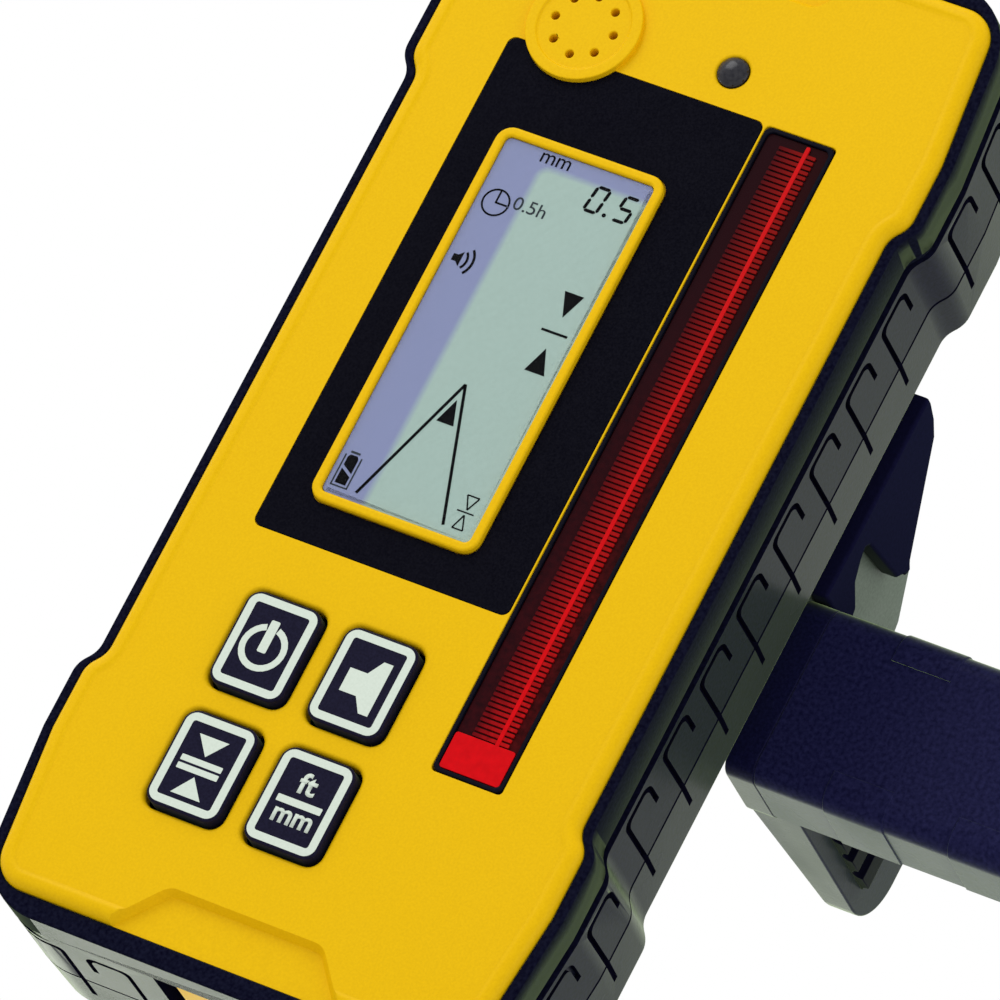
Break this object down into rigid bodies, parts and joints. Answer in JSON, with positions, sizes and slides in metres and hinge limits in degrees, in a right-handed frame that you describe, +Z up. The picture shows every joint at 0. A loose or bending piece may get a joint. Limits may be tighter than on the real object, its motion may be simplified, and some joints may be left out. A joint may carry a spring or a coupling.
{
  "type": "laser receiver",
  "caption": "Hand-size laser level receiver in rubber armour, with display, receiving window and keys on its face, and a screw clamp on its back that grips a levelling staff.",
  "frame": {"origin": "on the plane that the bumper's foot stands on, in the middle of the bumper's lip, under the middle of the case", "axes": "+X to the right as seen from the front, towards the clamp's knob; +Y from the face to the back; +Z up the long side of the case"},
  "size_m": [0.163, 0.0889, 0.164],
  "materials": {
    "case_yellow": "satin",
    "armour_rubber": "matte",
    "case_dark": "matte",
    "panel_black": "satin",
    "clear_lens": "polished",
    "display_glass": "polished",
    "window_red": "polished",
    "trim_black": "satin",
    "light_guide": "satin",
    "diode_dark": "polished",
    "board_green": "satin",
    "key_rubber": "matte",
    "steel": "brushed",
    "brass": "satin",
    "cell_jacket": "satin",
    "bracket_grey": "matte",
    "clamp_black": "matte",
    "jaw_rubber": "matte"
  },
  "bodies": {
    "receiver": {"front_shell": "case_yellow", "rear_cover": "case_dark", "case_gasket": "armour_rubber", "bumper_front": "armour_rubber", "bumper_rear": "armour_rubber", "case_screws": "steel", "label_panel": "panel_black", "lcd_lens": "clear_lens", "lcd_glass": "display_glass", "lcd_backlight": "light_guide", "window_frame": "trim_black", "window_lens": "window_red", "photodiodes": "diode_dark", "sensor_board": "board_green", "board_headers": "trim_black", "main_board": "board_green", "board_screws": "steel", "switch_domes": "steel", "buzzer": "trim_black", "status_dome": "diode_dark", "battery_tube": "case_dark", "cell_lower": "cell_jacket", "cell_upper": "cell_jacket", "cell_contact": "brass", "door_pin": "steel", "thread_inserts": "brass", "clamp_bracket": "bracket_grey", "bracket_cover": "clamp_black", "bracket_screws": "steel", "clamp_beam": "clamp_black", "beam_screws": "steel", "beam_grip": "armour_rubber", "fixed_pad": "jaw_rubber"},
    "power_key": {"key_power": "key_rubber"},
    "sound_key": {"key_sound": "key_rubber"},
    "accuracy_key": {"key_accuracy": "key_rubber"},
    "units_key": {"key_units": "key_rubber"},
    "door": {"battery_door": "case_yellow", "door_spring": "steel"},
    "jaw": {"moving_jaw": "clamp_black", "moving_pad": "jaw_rubber"},
    "spindle": {"lead_screw": "steel", "screw_collar": "steel", "clamp_knob": "clamp_black", "knob_pin": "steel"}
  },
  "joints": [
    {"name": "power_key_press", "type": "slide", "parent": "receiver", "child": "power_key", "axis": [0, 1, 0], "range_m": [0, 0.0007], "stiffness_N_per_m": 900},
    {"name": "sound_key_press", "type": "slide", "parent": "receiver", "child": "sound_key", "axis": [0, 1, 0], "range_m": [0, 0.0007], "stiffness_N_per_m": 900},
    {"name": "accuracy_key_press", "type": "slide", "parent": "receiver", "child": "accuracy_key", "axis": [0, 1, 0], "range_m": [0, 0.0007], "stiffness_N_per_m": 900},
    {"name": "units_key_press", "type": "slide", "parent": "receiver", "child": "units_key", "axis": [0, 1, 0], "range_m": [0, 0.0007], "stiffness_N_per_m": 900},
    {"name": "door_hinge", "type": "hinge", "parent": "receiver", "child": "door", "pos_m": [0, 0.0222, 0.00235], "axis": [1, 0, 0], "range_deg": [0, 100]},
    {"name": "knob_turn", "type": "hinge", "parent": "receiver", "child": "spindle", "pos_m": [0.108, 0.04215, 0.0762], "axis": [1, 0, 0], "range_deg": [-1800.5, 720.5]},
    {"name": "jaw_slide", "type": "slide", "parent": "receiver", "child": "jaw", "axis": [1, 0, 0], "range_m": [-0.03, 0.012]}
  ],
  "couplings": [
    {"joint": "knob_turn", "follows": "jaw_slide", "rad_per_m": 1047.2}
  ]
}
